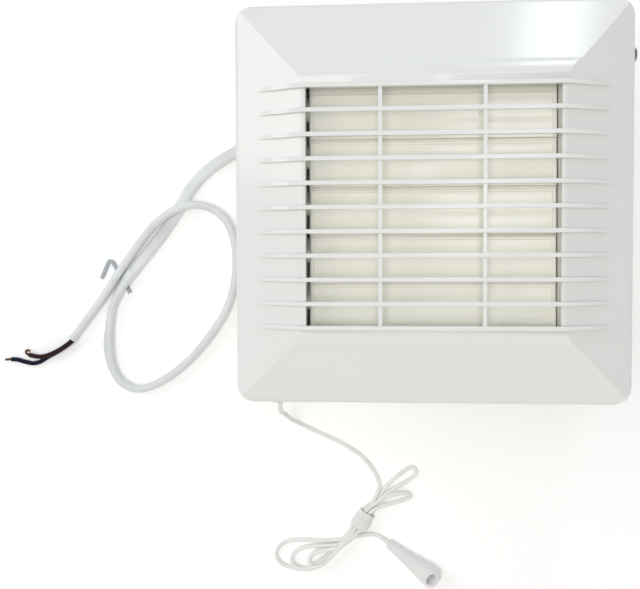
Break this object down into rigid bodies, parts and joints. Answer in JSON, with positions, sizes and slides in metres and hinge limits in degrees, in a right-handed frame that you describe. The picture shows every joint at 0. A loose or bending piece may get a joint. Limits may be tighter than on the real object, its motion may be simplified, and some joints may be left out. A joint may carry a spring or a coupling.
{
  "type": "bathroom extractor fan",
  "caption": "Square louvred bathroom extractor fan with linked shutter blades, axial impeller and motor, pull-cord switch, duct spigot and flat supply lead.",
  "frame": {"origin": "centre of the duct spigot's open end", "axes": "+Z along the duct, out of the louvred front; +Y towards the top of the front as it hangs on the wall; +X to the right seen from the front"},
  "size_m": [0.295, 0.2646, 0.1022],
  "materials": {
    "cover_abs": "glossy moulded ABS",
    "casing_abs": "satin moulded ABS",
    "blade_abs": "glossy moulded plastic, slightly yellowed",
    "steel": "bright steel",
    "zinc_screw": "zinc plated steel",
    "brass": "plain brass",
    "copper": "bright copper",
    "black_nylon": "black nylon",
    "white_nylon": "white nylon",
    "flex_pvc": "soft white PVC",
    "brown_pvc": "brown PVC",
    "blue_pvc": "blue PVC",
    "tie_wire": "plastic coated wire",
    "pull_cord": "braided nylon cord",
    "pull_plastic": "moulded plastic"
  },
  "bodies": {
    "casing": {"front_cover": "cover_abs", "rear_casing": "casing_abs", "duct_tube": "casing_abs", "motor_mount": "casing_abs", "shutter_frame": "casing_abs", "shutter_frame_screws": "zinc_screw", "actuator_body": "zinc_screw", "actuator_clip": "casing_abs", "return_spring": "steel", "bearing_bushes": "brass", "front_bearing_bracket": "zinc_screw", "rear_bearing_bracket": "zinc_screw", "stator_core": "steel", "shading_rings": "copper", "coil_bobbin": "black_nylon", "coil_winding": "copper", "motor_screws": "zinc_screw", "motor_nuts": "zinc_screw", "cover_screw": "zinc_screw", "cover_washer": "zinc_screw", "terminal_block": "white_nylon", "terminal_screws": "brass", "flex_grommet": "white_nylon", "flex_clamp": "casing_abs", "clamp_screws": "zinc_screw", "inner_flex": "flex_pvc", "supply_flex": "flex_pvc", "brown_core": "brown_pvc", "blue_core": "blue_pvc", "conductor_tips": "copper", "flex_tie": "tie_wire", "switch_body": "white_nylon", "switch_lid": "white_nylon", "switch_contacts": "brass", "switch_spring": "steel", "switch_screws": "zinc_screw", "cord_bush": "cover_abs"},
    "fan_rotor": {"impeller": "casing_abs", "impeller_clip": "steel", "rotor_shaft": "steel", "rotor_core": "zinc_screw", "thrust_washers": "black_nylon"},
    "pull_switch": {"switch_slider": "casing_abs", "pull_cord": "pull_cord", "cord_hank": "pull_cord", "cord_tie": "pull_plastic", "pull_handle": "pull_plastic"},
    "link_bar": {"shutter_link": "casing_abs"},
    "plunger": {"actuator_plunger": "brass"},
    "blade_1": {"shutter_blade_1": "blade_abs"},
    "blade_2": {"shutter_blade_2": "blade_abs"},
    "blade_3": {"shutter_blade_3": "blade_abs"},
    "blade_4": {"shutter_blade_4": "blade_abs"},
    "blade_5": {"shutter_blade_5": "blade_abs"}
  },
  "joints": [
    {"name": "fan_spin", "type": "hinge", "parent": "casing", "child": "fan_rotor", "pos_m": [0, 0, 0.045], "axis": [0, 0, 1], "continuous": true},
    {"name": "cord_pull", "type": "slide", "parent": "casing", "child": "pull_switch", "axis": [0, -1, 0], "range_m": [0, 0.005], "stiffness_N_per_m": 250, "springref_m": -0.008, "deforming": ["switch_spring"]},
    {"name": "blade_3_turn", "type": "hinge", "parent": "casing", "child": "blade_3", "pos_m": [0, 0, 0.0865], "axis": [-1, 0, 0], "range_deg": [0, 78], "stiffness_Nm_per_rad": 0.02, "springref_deg": -34.38},
    {"name": "blade_1_turn", "type": "hinge", "parent": "casing", "child": "blade_1", "pos_m": [0, 0.038, 0.0865], "axis": [-1, 0, 0], "range_deg": [0, 78]},
    {"name": "blade_2_turn", "type": "hinge", "parent": "casing", "child": "blade_2", "pos_m": [0, 0.019, 0.0865], "axis": [-1, 0, 0], "range_deg": [0, 78]},
    {"name": "blade_4_turn", "type": "hinge", "parent": "casing", "child": "blade_4", "pos_m": [0, -0.019, 0.0865], "axis": [-1, 0, 0], "range_deg": [0, 78]},
    {"name": "blade_5_turn", "type": "hinge", "parent": "casing", "child": "blade_5", "pos_m": [0, -0.038, 0.0865], "axis": [-1, 0, 0], "range_deg": [0, 78]},
    {"name": "link_swing", "type": "hinge", "parent": "blade_3", "child": "link_bar", "pos_m": [-0.0525, 0.00504, 0.08028], "axis": [-1, 0, 0], "range_deg": [-78, 0]},
    {"name": "plunger_push", "type": "slide", "parent": "casing", "child": "plunger", "axis": [0, -1, 0], "range_m": [0, 0.0102], "deforming": ["return_spring"]}
  ],
  "couplings": [
    {"joint": "blade_1_turn", "follows": "blade_3_turn", "ratio": 1},
    {"joint": "blade_2_turn", "follows": "blade_3_turn", "ratio": 1},
    {"joint": "blade_4_turn", "follows": "blade_3_turn", "ratio": 1},
    {"joint": "blade_5_turn", "follows": "blade_3_turn", "ratio": 1},
    {"joint": "link_swing", "follows": "blade_3_turn", "ratio": -1},
    {"joint": "plunger_push", "follows": "blade_3_turn", "m_per_rad": 0.0074}
  ]
}
